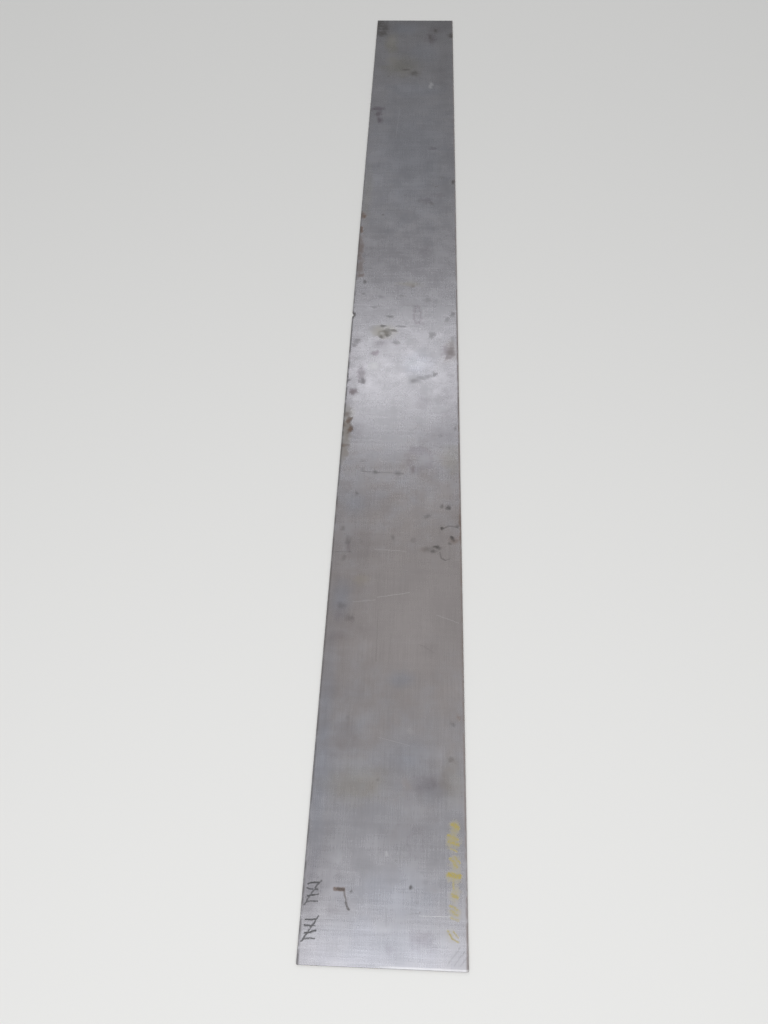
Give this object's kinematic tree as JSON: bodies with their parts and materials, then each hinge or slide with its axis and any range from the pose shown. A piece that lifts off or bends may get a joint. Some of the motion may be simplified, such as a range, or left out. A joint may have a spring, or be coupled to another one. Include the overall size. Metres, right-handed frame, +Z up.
{
  "type": "steel plate",
  "caption": "Long, narrow flat steel plate with sheared edges, dressed corners and one small nick in its left long edge, lying flat.",
  "frame": {"origin": "middle of the underside, on the floor that the plate lies on", "axes": "+Y along the plate's length, away from the end with the crayon strokes; +X across its width; +Z up out of the upper face"},
  "size_m": [0.274, 3, 0.004],
  "materials": {
    "mill_steel": "dull grey mill finish, mottled, with stains, light rust along the edges and crayon strokes"
  },
  "bodies": {
    "root": {"steel_plate": "mill_steel"}
  },
  "joints": []
}
